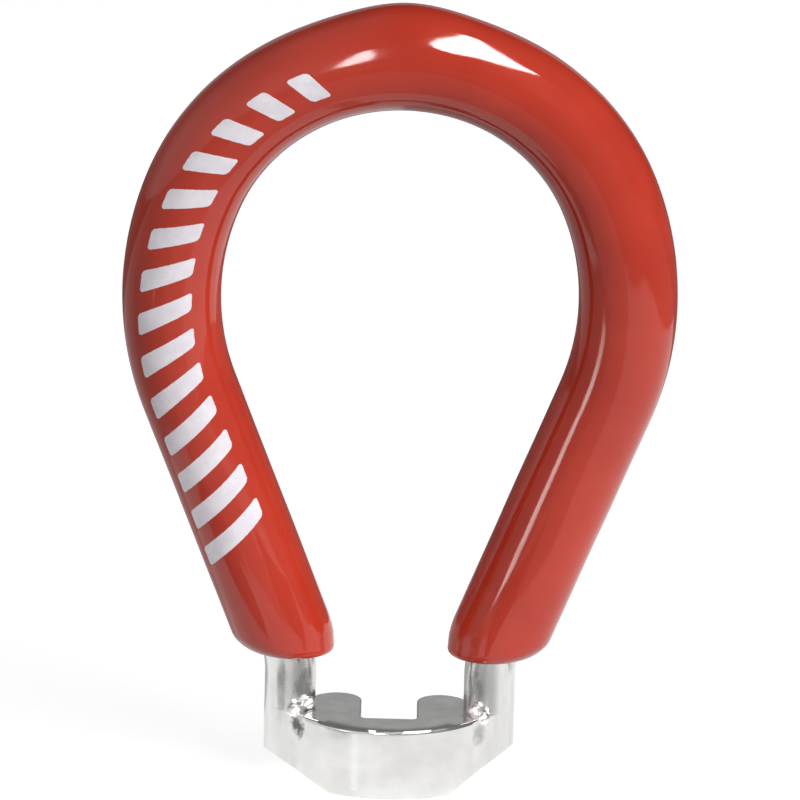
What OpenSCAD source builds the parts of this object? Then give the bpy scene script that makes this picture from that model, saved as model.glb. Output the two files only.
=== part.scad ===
// Spoke wrench: a plated steel jaw block brazed to a bent round bar, the bar dip-coated in vinyl.
// The nipple's axis is the Z axis, the foot of the jaw block is at Z = 0,
// and the nipple slides into the slot from the back, along -Y.

/* [Nipple slot] */
// Width of the slot across the flats of the nipple
slot_w = 3.45; // [3.2:0.01:4.5]
// Radius in the two corners at the closed end of the slot
slot_corner_r = 0.35; // [0.1:0.05:0.8]
// Reach of the jaw tips behind the nipple's axis
jaw_reach = 3.8; // [3.4:0.1:5.5]
// Radius of each rounded jaw tip, half the thickness of a jaw
jaw_tip_r = 1.5; // [1.2:0.05:2]

/* [Jaw block] */
// Width of the block across its two shoulders
head_w = 15.65; // [14:0.05:20]
// Height of the block along the nipple
head_h = 4.45; // [3:0.05:8]
// Thickness of the front wall ahead of the slot
nose_wall = 2.9; // [2:0.1:4.5]
// Radius of the rounded front, seen from above
nose_r = 6.5; // [5.5:0.1:7.5]
// Radius of the hollow between the front and a shoulder
waist_r = 2.5; // [0.5:0.1:2.6]
// Width of the bevel on each lower corner
bevel_w = 4.05; // [1:0.05:5]
// Height of the bevel on each lower corner
bevel_h = 1.8; // [0.5:0.05:2.8]
// Radius along the upper front edge
edge_r = 0.4; // [0.1:0.05:0.6]

/* [Handle bar] */
// Diameter of the bent bar
bar_d = 3.2; // [2.5:0.1:4]
// Distance from the nipple's axis back to the plane of the bar's ends
bar_set = 1.2; // [0.8:0.05:1.8]
// Straight length of each bar end above the block
tang_len = 2.05; // [1:0.05:5]
// Bend radius between a bar end and its leg, at the bar's middle
bend_r = 7; // [5:0.1:10]
// Angle of each leg from the middle of the loop
leg_angle = 20.75; // [16:0.25:26]
// Forward lean of the loop, which clears the spoke
lean = 9; // [6:0.5:14]
// Radius of each side of the loop, at the bar's middle
cheek_r = 18.75; // [16:0.05:24]
// Radius of the top of the loop, at the bar's middle
crown_r = 13.6; // [11:0.1:16]
// Height on each side where the top's radius takes over, as an angle
crown_turn = 22; // [10:0.5:35]

/* [Braze] */
// Radius of the braze bead at the foot of each bar end
bead_r = 0.65; // [0.4:0.05:0.9]
// How far the bead runs round the bar towards the front
bead_front = 78; // [40:1:80]
// How far the bead runs round the bar towards the back
bead_back = 12; // [5:1:40]

/* [Vinyl grip] */
// Outside diameter of the dipped grip
grip_d = 6.1; // [5:0.1:8]
// Radius of the rounded lip at each end of the grip
lip_r = 1; // [0.5:0.05:1.1]
// Drop from the foot of a leg to the lip below it
lip_drop = 1.25; // [1:0.05:1.6]
// Height of the sag left at the top by the last drip
drip_h = 0.5; // [0.2:0.05:0.8]
// Radius of the sag along the loop
drip_arc_r = 6; // [5:0.1:8]
// Half the angle that the sag takes up on its own radius
drip_half = 40; // [35:1:45]
// How much slimmer than the grip the sag is, front to back
drip_inset = 0.15; // [0.1:0.05:0.3]
// Film between the bar and what is laid over it
film = 0.02; // [0.01:0.01:0.05]

/* [Hidden] */
$fn = 96;
// How far a cut runs past the face that it opens
over = 1;
// How far a closing ball stands proud of the run
joint_over = 0.01;
// How far the arc of the rounded edge stands proud of the faces beside it
edge_over = 0.01;
// How far the arc of a lip stands proud of the walls beside it
lip_over = 0.03;

// The jaw block
bar_r = bar_d / 2;
tang_x = (head_w - bar_d) / 2;
nose_reach = slot_w / 2 + nose_wall;
nose_y = nose_r - nose_reach;
shoulder_front = bar_set - bar_r;
jaw_x = slot_w / 2 + jaw_tip_r;
jaw_tip_y = jaw_reach - jaw_tip_r;

// The hollow's centre, where its circle touches the rounded front and the shoulder's round end
nose_to_tang = norm([tang_x, bar_set - nose_y]);
tang_dir = [tang_x, bar_set - nose_y] / nose_to_tang;
waist_to_nose = nose_r + waist_r;
waist_to_tang = bar_r + waist_r;
waist_along = (pow(waist_to_nose, 2) - pow(waist_to_tang, 2) + pow(nose_to_tang, 2)) / (2 * nose_to_tang);
waist_out = sqrt(pow(waist_to_nose, 2) - pow(waist_along, 2));
waist_x = waist_along * tang_dir[0] + waist_out * tang_dir[1];
waist_y = nose_y + waist_along * tang_dir[1] - waist_out * tang_dir[0];
nose_half_angle = atan2(waist_x, nose_y - waist_y);

// The loop: where the bend ends, and the centres of the arcs in the leaning plane
leg_dir = [sin(leg_angle), -cos(leg_angle) * sin(lean), cos(leg_angle) * cos(lean)];
bend_angle = acos(leg_dir[2]);
bend_heading = atan2(leg_dir[1], leg_dir[0]);
bend_out = bend_r * (1 - cos(bend_angle));
leg_x = tang_x + bend_out * cos(bend_heading);
leg_y = bar_set + bend_out * sin(bend_heading);
leg_z = head_h + tang_len + bend_r * sin(bend_angle);
cheek_x = (crown_r - cheek_r) * cos(crown_turn);
leg_len = (cheek_x + cheek_r * cos(leg_angle) - leg_x) / sin(leg_angle);
cheek_z = leg_len * cos(leg_angle) + cheek_r * sin(leg_angle);
crown_z = cheek_z + (cheek_r - crown_r) * sin(crown_turn);

// The grip
grip_r = grip_d / 2;

// Each level lip: how far out and in its flat runs from the bar end before it rounds to the walls
lip_z = leg_z - lip_drop;
lip_mid_z = lip_z + lip_r - head_h - tang_len;
wall_at_lip = bend_out + grip_r / cos(bend_angle) - lip_drop * tan(bend_angle);
flat_out = wall_at_lip - lip_r * (1 / cos(bend_angle) - tan(bend_angle));
inner_wall_r = bend_r + grip_r - lip_r;
flat_in = sqrt(pow(inner_wall_r, 2) - pow(lip_mid_z, 2)) - bend_r;
lip_axis = (flat_out - flat_in) / 2;
lip_flat_r = (flat_out + flat_in) / 2 + lip_over;

// The lean of the plane where a lip's rounding ends, from the outer wall up to the inner one
lip_rise = lip_r * (sin(bend_angle) + lip_mid_z / inner_wall_r);
lip_slope = atan(lip_rise / (2 * grip_r));

// The sag
drip_r = grip_r - drip_inset;
drip_z = crown_z + crown_r + drip_h + drip_inset - drip_arc_r;

// A round arc of the bar in the upright plane, from one angle to another
module arc_run(middle_r, run_r, from, to) {
    rotate([90, 0, 0])
        rotate([0, 0, from])
            rotate_extrude(angle = to - from)
                translate([middle_r, 0])
                    circle(r = run_r);
}

// Places its child in the leaning plane of the loop
module in_loop_plane() {
    translate([0, leg_y, leg_z])
        rotate([lean, 0, 0])
            children();
}

// Ball that closes the run where two stretches of it meet
module joint_ball(run_r) {
    sphere(r = run_r + joint_over);
}

// One straight leg and the side arc above it
module leg_and_cheek(run_r) {
    in_loop_plane() {
        translate([leg_x, 0, 0])
            rotate([0, leg_angle, 0]) {
                joint_ball(run_r);
                cylinder(r = run_r, h = leg_len);
                translate([0, 0, leg_len])
                    joint_ball(run_r);
            }
        translate([cheek_x, 0, cheek_z]) {
            arc_run(cheek_r, run_r, -leg_angle, crown_turn);
            rotate([0, -crown_turn, 0])
                translate([cheek_r, 0, 0])
                    joint_ball(run_r);
        }
    }
}

// The two legs and sides, joined over the top
module loop_run(run_r) {
    for (side = [0, 1])
        mirror([side, 0, 0])
            leg_and_cheek(run_r);
    in_loop_plane()
        translate([0, 0, crown_z])
            arc_run(crown_r, run_r, crown_turn, 180 - crown_turn);
}

// One upright bar end and the bend that leads into its leg
module tang(run_r) {
    translate([tang_x, bar_set, head_h]) {
        cylinder(r = run_r, h = tang_len);
        translate([0, 0, tang_len])
            rotate([0, 0, bend_heading]) {
                joint_ball(run_r);
                translate([bend_r, 0, 0])
                    arc_run(bend_r, run_r, 180 - bend_angle, 180);
            }
    }
}

// The whole bent bar at a given radius
module bar_run(run_r) {
    loop_run(run_r);
    for (side = [0, 1])
        mirror([side, 0, 0])
            tang(run_r);
}

// Outline of the slot from above, open at the back
module slot_outline() {
    closed_y = -slot_w / 2;
    translate([-slot_w / 2, closed_y + slot_corner_r])
        square([slot_w, jaw_reach + slot_w]);
    translate([-slot_w / 2 + slot_corner_r, closed_y])
        square([slot_w - 2 * slot_corner_r, slot_w]);
    for (side = [-1, 1])
        translate([side * (slot_w / 2 - slot_corner_r), closed_y + slot_corner_r])
            circle(r = slot_corner_r);
}

// Fills the corner between the rounded front and a shoulder, hollowed to its radius
module waist_outline() {
    difference() {
        polygon([[0, nose_y], [waist_x, waist_y], [tang_x, bar_set]]);
        translate([waist_x, waist_y])
            circle(r = waist_r);
    }
}

// Outline of the block from above
module head_outline() {
    difference() {
        union() {
            intersection() {
                translate([0, nose_y])
                    circle(r = nose_r);
                translate([-head_w / 2, -nose_reach])
                    square([head_w, nose_reach + bar_set]);
            }
            translate([-tang_x, shoulder_front])
                square([2 * tang_x, bar_d]);
            for (side = [0, 1])
                mirror([side, 0]) {
                    waist_outline();
                    translate([tang_x, bar_set])
                        circle(r = bar_r);
                    translate([slot_w / 2, shoulder_front])
                        square([2 * jaw_tip_r, jaw_tip_y - shoulder_front]);
                    translate([jaw_x, jaw_tip_y])
                        circle(r = jaw_tip_r);
                }
        }
        slot_outline();
    }
}

// Wedge that takes off one lower corner of the block
module bevel_cut() {
    reach_y = nose_reach + jaw_reach + 2 * over;
    translate([head_w / 2, jaw_reach + over, 0])
        rotate([90, 0, 0])
            linear_extrude(height = reach_y)
                polygon([[-bevel_w, 0], [-bevel_w, -over], [over, -over], [over, bevel_h], [0, bevel_h]]);
}

// Ring that rounds the upper front edge of the block
module edge_cut() {
    translate([0, nose_y, head_h - edge_r])
        rotate([0, 0, -90 - nose_half_angle])
            rotate_extrude(angle = 2 * nose_half_angle)
                difference() {
                    translate([nose_r - edge_r, 0])
                        square([edge_r + over, edge_r + over]);
                    translate([nose_r - edge_r, 0])
                        circle(r = edge_r + edge_over);
                }
}

module wrench_head() {
    color("silver")
        difference() {
            linear_extrude(height = head_h)
                head_outline();
            for (side = [0, 1])
                mirror([side, 0, 0])
                    bevel_cut();
            edge_cut();
        }
}

module handle_bar() {
    color("gainsboro")
        bar_run(bar_r);
}

// Bead of braze in the corner between the right bar end and the block
module braze_bead() {
    color("darkgray")
        translate([tang_x, bar_set, head_h])
            rotate([0, 0, 180 - bead_back])
                rotate_extrude(angle = bead_back + bead_front)
                    translate([bar_r + film, 0])
                        intersection() {
                            circle(r = bead_r);
                            square([bead_r, bead_r]);
                        }
}

module braze_left() {
    mirror([1, 0, 0])
        braze_bead();
}

module braze_right() {
    braze_bead();
}

// What is taken off below the right lip, which is level as the dip left it, with a rounded rim
module lip_cut() {
    reach = grip_r + over;
    depth = lip_z;
    translate([tang_x, bar_set, lip_z])
        rotate([0, 0, bend_heading])
            translate([lip_axis, 0, 0])
                difference() {
                    rotate_extrude()
                        difference() {
                            translate([0, -depth])
                                square([reach, depth + 2 * lip_r]);
                            square([lip_flat_r, 2 * lip_r + over]);
                            translate([lip_flat_r, lip_r])
                                circle(r = lip_r);
                        }
                    translate([0, 0, lip_r])
                        rotate([0, lip_slope, 0])
                            translate([-2 * reach, -2 * reach, 0])
                                cube(4 * reach);
                }
}

module vinyl_grip() {
    color("firebrick")
        difference() {
            union() {
                bar_run(grip_r);
                in_loop_plane()
                    translate([0, 0, drip_z])
                        arc_run(drip_arc_r, drip_r, 90 - drip_half, 90 + drip_half);
            }
            for (side = [0, 1])
                mirror([side, 0, 0])
                    lip_cut();
            bar_run(bar_r + film);
        }
}

wrench_head();
handle_bar();
braze_left();
braze_right();
vinyl_grip();
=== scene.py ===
"""Looks of a teardrop-loop spoke wrench: plated jaw block, bent bar, braze beads and dipped vinyl grip."""
import math

import bmesh
import bpy
from mathutils import Matrix, Vector, noise as fractal


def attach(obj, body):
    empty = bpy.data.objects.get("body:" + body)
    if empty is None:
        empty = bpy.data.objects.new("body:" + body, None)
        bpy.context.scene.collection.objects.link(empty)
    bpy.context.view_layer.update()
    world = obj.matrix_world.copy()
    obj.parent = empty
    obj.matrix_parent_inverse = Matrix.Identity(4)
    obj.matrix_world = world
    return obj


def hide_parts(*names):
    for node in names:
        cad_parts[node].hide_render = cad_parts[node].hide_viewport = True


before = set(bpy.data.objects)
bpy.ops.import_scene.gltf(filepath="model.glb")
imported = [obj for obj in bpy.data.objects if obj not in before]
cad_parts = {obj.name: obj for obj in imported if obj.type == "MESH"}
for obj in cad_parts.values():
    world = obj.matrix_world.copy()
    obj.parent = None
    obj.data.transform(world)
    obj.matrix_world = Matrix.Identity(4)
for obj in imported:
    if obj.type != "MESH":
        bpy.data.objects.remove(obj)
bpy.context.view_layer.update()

MM = 0.001
DEG = math.pi / 180

# Sizes of the jaw block
SLOT_W = 3.45 * MM
SLOT_CORNER_R = 0.35 * MM
JAW_REACH = 3.8 * MM
JAW_TIP_R = 1.5 * MM
HEAD_W = 15.65 * MM
HEAD_H = 4.45 * MM
NOSE_WALL = 2.9 * MM
NOSE_R = 6.5 * MM
WAIST_R = 2.5 * MM
EDGE_R = 0.26 * MM
JAW_EDGE_R = 0.14 * MM
LOWER_EDGE_R = 0.1 * MM

# Width and height of the two lower bevels, ground by hand and so a little uneven
LEFT_BEVEL = (4.15 * MM, 1.5 * MM)
RIGHT_BEVEL = (4.0 * MM, 2.1 * MM)

# Sizes of the bent bar
BAR_R = 1.6 * MM
BAR_SET = 1.2 * MM
TANG_LEN = 2.05 * MM
BEND_R = 7.0 * MM
LEG_ANGLE = 20.75 * DEG
LEAN = 9.0 * DEG
CHEEK_R = 18.75 * MM
CROWN_R = 13.6 * MM
CROWN_TURN = 22.0 * DEG

# Sizes of the grip
GRIP_R = 3.05 * MM
LIP_DROP = 1.25 * MM
LIP_OUTER_R = 1.2 * MM
LIP_INNER_R = 0.45 * MM
LIP_TAPER = 0.22 * MM
SAG_H = 0.5 * MM
FILM = 0.02 * MM

# How fine the meshes are: steps along the lines and the outline, sides and rings
LINE_STEP = 0.4 * MM
OUTLINE_STEP = 0.14 * MM
FINE_STEP = 0.06 * MM
BAR_SIDES = 64
GRIP_SIDES = 96
BEAD_SIDES = 32
BEAD_PARTS = 10
LIP_RINGS = 14
LOWER_RINGS = 4
WALL_RINGS = 30
EDGE_RINGS = 8

# Where the bar ends stand, and where the bend, leg, sides and top of the loop begin
TANG_X = HEAD_W / 2 - BAR_R
LEG_DIR = Vector((
    math.sin(LEG_ANGLE),
    -math.cos(LEG_ANGLE) * math.sin(LEAN),
    math.cos(LEG_ANGLE) * math.cos(LEAN),
))
BEND_ANGLE = math.acos(LEG_DIR.z)
BEND_HEADING = math.atan2(LEG_DIR.y, LEG_DIR.x)
BEND_OUT = BEND_R * (1 - math.cos(BEND_ANGLE))
LEG_X = TANG_X + BEND_OUT * math.cos(BEND_HEADING)
LEG_Y = BAR_SET + BEND_OUT * math.sin(BEND_HEADING)
LEG_Z = HEAD_H + TANG_LEN + BEND_R * math.sin(BEND_ANGLE)
LIP_Z = LEG_Z - LIP_DROP
CHEEK_X = (CROWN_R - CHEEK_R) * math.cos(CROWN_TURN)
LEG_LEN = (CHEEK_X + CHEEK_R * math.cos(LEG_ANGLE) - LEG_X) / math.sin(LEG_ANGLE)
CHEEK_Z = LEG_LEN * math.cos(LEG_ANGLE) + CHEEK_R * math.sin(LEG_ANGLE)
CROWN_Z = CHEEK_Z + (CHEEK_R - CROWN_R) * math.sin(CROWN_TURN)

# Front and up directions of the leaning loop
LOOP_FRONT = Vector((0, -math.cos(LEAN), -math.sin(LEAN)))
LOOP_UP = Vector((0, -math.sin(LEAN), math.cos(LEAN)))


# Lines that the bar, the grip and the beads follow

def in_loop(x, z):
    """Point of the leaning plane of the loop."""
    return Vector((x, LEG_Y, LEG_Z)) + z * LOOP_UP


def spread(start, end, length, step):
    """Even values from start to end, one for each step of the length, start left out."""
    count = max(2, math.ceil(length / step))
    return [start + (end - start) * k / count for k in range(1, count + 1)]


def bend_point(angle):
    """Point of the right bend at an angle above its start."""
    out = BEND_R * (1 - math.cos(angle))
    return Vector((
        TANG_X + out * math.cos(BEND_HEADING),
        BAR_SET + out * math.sin(BEND_HEADING),
        HEAD_H + TANG_LEN + BEND_R * math.sin(angle),
    ))


def loop_half(step):
    """Points from the end of the right bend to the middle of the top."""
    points = []
    for along in spread(0, LEG_LEN, LEG_LEN, step):
        points.append(in_loop(LEG_X + along * math.sin(LEG_ANGLE), along * math.cos(LEG_ANGLE)))
    turned = LEG_ANGLE + CROWN_TURN
    for angle in spread(-LEG_ANGLE, CROWN_TURN, CHEEK_R * turned, step):
        points.append(in_loop(CHEEK_X + CHEEK_R * math.cos(angle), CHEEK_Z + CHEEK_R * math.sin(angle)))
    quarter = math.pi / 2
    for angle in spread(CROWN_TURN, quarter, CROWN_R * (quarter - CROWN_TURN), step):
        points.append(in_loop(CROWN_R * math.cos(angle), CROWN_Z + CROWN_R * math.sin(angle)))
    return points


def both_halves(right):
    """The whole line, from the left end over the top to the right end."""
    left = [Vector((-p.x, p.y, p.z)) for p in right[:-1]]
    return left + right[::-1]


def bar_line(step):
    """Middle line of the whole bar, foot to foot."""
    right = [Vector((TANG_X, BAR_SET, HEAD_H))]
    for rise in spread(0, TANG_LEN, TANG_LEN, step):
        right.append(Vector((TANG_X, BAR_SET, HEAD_H + rise)))
    for angle in spread(0, BEND_ANGLE, BEND_R * BEND_ANGLE, step):
        right.append(bend_point(angle))
    return both_halves(right + loop_half(step))


def grip_line(step, lip_rings):
    """Middle line of the grip, with close points where its lips round off."""
    lip_angle = math.asin(math.sin(BEND_ANGLE) - LIP_DROP / BEND_R)
    bend_len = BEND_R * (BEND_ANGLE - lip_angle)
    right = [bend_point(lip_angle), bend_point(lip_angle + FILM / BEND_R)]
    for k in range(1, lip_rings + 1):
        share = 1 - math.cos(k / lip_rings * math.pi / 2)
        right.append(bend_point(lip_angle + (FILM + (bend_len - FILM) * share) / BEND_R))
    return both_halves(right + loop_half(step))


# Each bead runs round the foot of a bar end: angle from the inner side to the front in degrees,
# distance from the bar's middle line and height above the block, both in millimetres
LEFT_BEAD = (
    (26, 1.68, 0.42), (43, 1.74, 0.42), (58, 1.86, 0.28),
    (73, 2.1, 0.1), (84, 2.1, 0.0), (97, 1.76, -0.06),
)
RIGHT_BEAD = (
    (50, 1.74, 0.6), (58, 1.82, 0.46), (64, 2.06, 0.16),
    (69, 2.38, -0.04), (77, 2.3, -0.12), (93, 1.8, -0.08),
)


def bead_line(side, stations, parts):
    """Line of one bead through its stations, smoothed."""
    knots = []
    for angle, reach, rise in stations:
        inward = reach * MM * math.cos(angle * DEG)
        ahead = reach * MM * math.sin(angle * DEG)
        knots.append(Vector((side * (TANG_X - inward), BAR_SET - ahead, HEAD_H + rise * MM)))
    points = []
    for k in range(len(knots) - 1):
        before = knots[max(k - 1, 0)]
        after = knots[min(k + 2, len(knots) - 1)]
        start, end = knots[k], knots[k + 1]
        for part in range(parts):
            t = part / parts
            bow = (2 * before - 5 * start + 4 * end - after) * t * t
            twist = (3 * start - before - 3 * end + after) * t ** 3
            points.append(start + ((end - before) * t + bow + twist) / 2)
    return points + [knots[-1]]


# Node helpers, for materials and geometry alike

def add(tree, kind, inputs=None, **settings):
    """A node with its settings, each input given as a value or as a socket to link."""
    made = tree.nodes.new(kind)
    for key, value in settings.items():
        setattr(made, key, value)
    for key, value in (inputs or {}).items():
        if isinstance(value, bpy.types.NodeSocket):
            tree.links.new(value, made.inputs[key])
        else:
            made.inputs[key].default_value = value
    return made


def calc(tree, operation, *values):
    """Result of a sum on numbers."""
    return add(tree, "ShaderNodeMath", dict(enumerate(values)), operation=operation).outputs[0]


def vector_calc(tree, operation, *values):
    """Result of a sum on vectors, a vector."""
    return add(tree, "ShaderNodeVectorMath", dict(enumerate(values)), operation=operation).outputs[0]


def scaled(tree, vector, factor):
    """A vector times a number."""
    return add(tree, "ShaderNodeVectorMath", {0: vector, "Scale": factor}, operation="SCALE").outputs[0]


def dot(tree, a, b):
    """Dot product of two vectors."""
    return add(tree, "ShaderNodeVectorMath", {0: a, 1: b}, operation="DOT_PRODUCT").outputs["Value"]


def length(tree, vector):
    """Length of a vector."""
    return add(tree, "ShaderNodeVectorMath", {0: vector}, operation="LENGTH").outputs["Value"]


def split(tree, vector):
    """The three parts of a vector."""
    return add(tree, "ShaderNodeSeparateXYZ", {0: vector}).outputs


def ramp(tree, value, low, high, to_low=0.0, to_high=1.0):
    """A value eased from one range to another, clamped."""
    inputs = {0: value, 1: low, 2: high, 3: to_low, 4: to_high}
    return add(tree, "ShaderNodeMapRange", inputs, interpolation_type="SMOOTHSTEP").outputs[0]


def noise(tree, vector, scale, detail=2.0, seed=0.0, rough=0.5):
    """Cloudy noise from 0 to 1."""
    inputs = {"Vector": vector, "W": seed, "Scale": scale, "Detail": detail, "Roughness": rough}
    return add(tree, "ShaderNodeTexNoise", inputs, noise_dimensions="4D").outputs[0]


def mix_number(tree, factor, a, b):
    """Number between a and b."""
    return add(tree, "ShaderNodeMix", {0: factor, 2: a, 3: b}, data_type="FLOAT").outputs[0]


def mix_colour(tree, factor, a, b):
    """Colour between a and b."""
    return add(tree, "ShaderNodeMix", {0: factor, 6: a, 7: b}, data_type="RGBA").outputs[2]


def colour(red, green, blue):
    """A colour given from 0 to 255 as it looks on screen, as the linear value that nodes take."""
    def linear(level):
        share = level / 255
        return share / 12.92 if share <= 0.04045 else ((share + 0.055) / 1.055) ** 2.4
    return linear(red), linear(green), linear(blue), 1.0


# Finishes

def new_finish(name):
    """An empty material and the surface node that it ends in."""
    material = bpy.data.materials.new(name)
    material.use_nodes = True
    tree = material.node_tree
    surface = next(n for n in tree.nodes if n.type == "BSDF_PRINCIPLED")
    return material, tree, surface


def object_place(tree):
    """Place on the piece, in metres."""
    return add(tree, "ShaderNodeTexCoord").outputs["Object"]


def embossed(tree, surface, height):
    """Lifts the surface by a height in metres."""
    bump = add(tree, "ShaderNodeBump", {"Strength": 1.0, "Distance": 1.0, "Height": height})
    tree.links.new(bump.outputs[0], surface.inputs["Normal"])


# Printed bars on the left side of the grip
BAR_PITCH = 2.55 * MM
BAR_WIDTH = 1.3 * MM
BAR_CORNER = 0.25 * MM
BAR_SLANT = 0.5
BAR_COUNT = 14
BAR_START = -40.0 * MM
BAR_MIDDLE = 0.4 * MM
BAR_HALF_LONG = 2.45 * MM
BAR_HALF_SHORT = 0.95 * MM
BAR_RAGGED = 0.06 * MM
BAR_FADE = 0.02 * MM


def printed_bars(tree, place):
    """Mask of a row of slanted bars, shorter towards the top of the loop."""
    along = add(tree, "ShaderNodeAttribute", attribute_name="along").outputs["Fac"]
    around = split(tree, add(tree, "ShaderNodeAttribute", attribute_name="around").outputs["Vector"])
    across = calc(tree, "MULTIPLY", calc(tree, "ARCTAN2", around[1], around[0]), GRIP_R)
    slid = calc(tree, "MULTIPLY_ADD", across, BAR_SLANT, along)
    steps = calc(tree, "DIVIDE", calc(tree, "SUBTRACT", slid, BAR_START), BAR_PITCH)
    number = calc(tree, "FLOOR", steps)
    in_step = calc(tree, "SUBTRACT", calc(tree, "FRACT", steps), 0.5)
    from_bar = calc(tree, "ABSOLUTE", calc(tree, "MULTIPLY", in_step, BAR_PITCH))
    shorter = (BAR_HALF_SHORT - BAR_HALF_LONG) / (BAR_COUNT - 1)
    half_long = calc(tree, "MULTIPLY_ADD", number, shorter, BAR_HALF_LONG)
    from_middle = calc(tree, "ABSOLUTE", calc(tree, "SUBTRACT", across, BAR_MIDDLE))
    past_side = calc(tree, "MAXIMUM", calc(tree, "SUBTRACT", from_bar, BAR_WIDTH / 2 - BAR_CORNER), 0.0)
    past_end = calc(tree, "SUBTRACT", calc(tree, "ADD", from_middle, BAR_CORNER), half_long)
    past_end = calc(tree, "MAXIMUM", past_end, 0.0)
    past_corner = length(tree, add(tree, "ShaderNodeCombineXYZ", {0: past_side, 1: past_end}).outputs[0])
    jitter = calc(tree, "SUBTRACT", noise(tree, place, scale=5000.0), 0.5)
    ragged = calc(tree, "MULTIPLY", jitter, BAR_RAGGED)
    edge = calc(tree, "ADD", calc(tree, "SUBTRACT", past_corner, BAR_CORNER), ragged)
    inside = ramp(tree, edge, BAR_FADE, -BAR_FADE)
    first = calc(tree, "GREATER_THAN", number, -0.5)
    last = calc(tree, "LESS_THAN", number, BAR_COUNT - 0.5)
    front = calc(tree, "GREATER_THAN", around[0], 0.0)
    counted = calc(tree, "MULTIPLY", first, last)
    return calc(tree, "MULTIPLY", calc(tree, "MULTIPLY", inside, counted), front)


# Colours of the coat and its ink as they look on screen, and how far peel, specks and ink stand out
VINYL_DEEP = colour(184, 53, 36)
VINYL_BRIGHT = colour(196, 60, 41)
INK_THIN = colour(238, 231, 239)
INK_FULL = colour(248, 243, 248)
VINYL_IOR = 1.48
INK_ROUGHER = 0.2
PEEL_HEIGHT = 0.008 * MM
SPECK_HEIGHT = 0.02 * MM
INK_HEIGHT = 0.012 * MM


def red_vinyl():
    """Glossy dip coat: cloudy red, faint orange peel, a few specks, white printed bars."""
    material, tree, surface = new_finish("red_vinyl")
    place = object_place(tree)
    clouds = noise(tree, place, scale=160.0, detail=3.0)
    red = mix_colour(tree, ramp(tree, clouds, 0.3, 0.7), VINYL_DEEP, VINYL_BRIGHT)
    bars = printed_bars(tree, place)
    worn = noise(tree, place, scale=900.0, detail=4.0, seed=3.0, rough=0.6)
    ink = mix_colour(tree, ramp(tree, worn, 0.35, 0.7), INK_THIN, INK_FULL)
    tree.links.new(mix_colour(tree, bars, red, ink), surface.inputs["Base Color"])
    handled = noise(tree, place, scale=420.0, detail=4.0, seed=7.0)
    gloss = ramp(tree, handled, 0.3, 0.8, to_low=0.06, to_high=0.12)
    tree.links.new(calc(tree, "MULTIPLY_ADD", bars, INK_ROUGHER, gloss), surface.inputs["Roughness"])
    surface.inputs["IOR"].default_value = VINYL_IOR
    peel = calc(tree, "MULTIPLY", noise(tree, place, scale=700.0, seed=11.0), PEEL_HEIGHT)
    speck = add(tree, "ShaderNodeTexVoronoi", {"Vector": place, "Scale": 260.0}).outputs["Distance"]
    height = calc(tree, "MULTIPLY_ADD", ramp(tree, speck, 0.045, 0.0), SPECK_HEIGHT, peel)
    embossed(tree, surface, calc(tree, "MULTIPLY_ADD", bars, INK_HEIGHT, height))
    return material


# Plate: its darkest and brightest clouds, the dark of its scorch marks and its painted shade, the stretch
# of the drawn bar's streaks, its relief
PLATE_DEEP = (0.70, 0.70, 0.68, 1)
PLATE_BRIGHT = (0.80, 0.80, 0.785, 1)
PLATE_SCORCH_AND_SHADE = (0.13, 0.13, 0.125, 1)
DRAWN_STRETCH = (1.0, 1.0, 0.16)
SHADE_LEAST = 0.19
SHADE_MORE = 0.28
SCORCH_AND_SHADE_ROUGHER = 0.2
GRAIN_HEIGHT = 0.002 * MM
SCORCH_DEPTH = 0.03 * MM
SCORCH_RAGGED = 1.8 * MM
DARK_UNDER_LIP_HEIGHT = 1.1 * MM

# Distances over which the bar's own finish, the painted shade on its inner side and the fading of that
# shade set in:
# from the middle of a bar end, across it, and above the top of the block
ON_BAR = (2.1 * MM, 1.65 * MM)
INNER_SIDE = (0.75 * MM, 0.15 * MM)
INNER_FADE = (-0.2 * MM, -1.2 * MM)
ABOVE_TOP = (-0.2 * MM, 0.2 * MM)

# Rough dark places beside the braze: middle, reach and strength
SCORCHES = (
    (Vector((-5.68, -1.3, 3.72)) * MM, 0.85 * MM, 0.95),
    (Vector((5.6, -1.35, 3.45)) * MM, 0.95 * MM, 0.4),
    (Vector((-5.1, -0.35, 4.75)) * MM, 0.75 * MM, 0.6),
    (Vector((5.25, -0.75, 4.8)) * MM, 0.8 * MM, 0.65),
)


def both_feet(tree, place):
    """Place measured from the foot of the nearer bar end, with the inner side at negative x."""
    parts = split(tree, place)
    from_end = calc(tree, "SUBTRACT", calc(tree, "ABSOLUTE", parts[0]), TANG_X)
    from_set = calc(tree, "SUBTRACT", parts[1], BAR_SET)
    from_top = calc(tree, "SUBTRACT", parts[2], HEAD_H)
    return add(tree, "ShaderNodeCombineXYZ", {0: from_end, 1: from_set, 2: from_top}).outputs[0]


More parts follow.
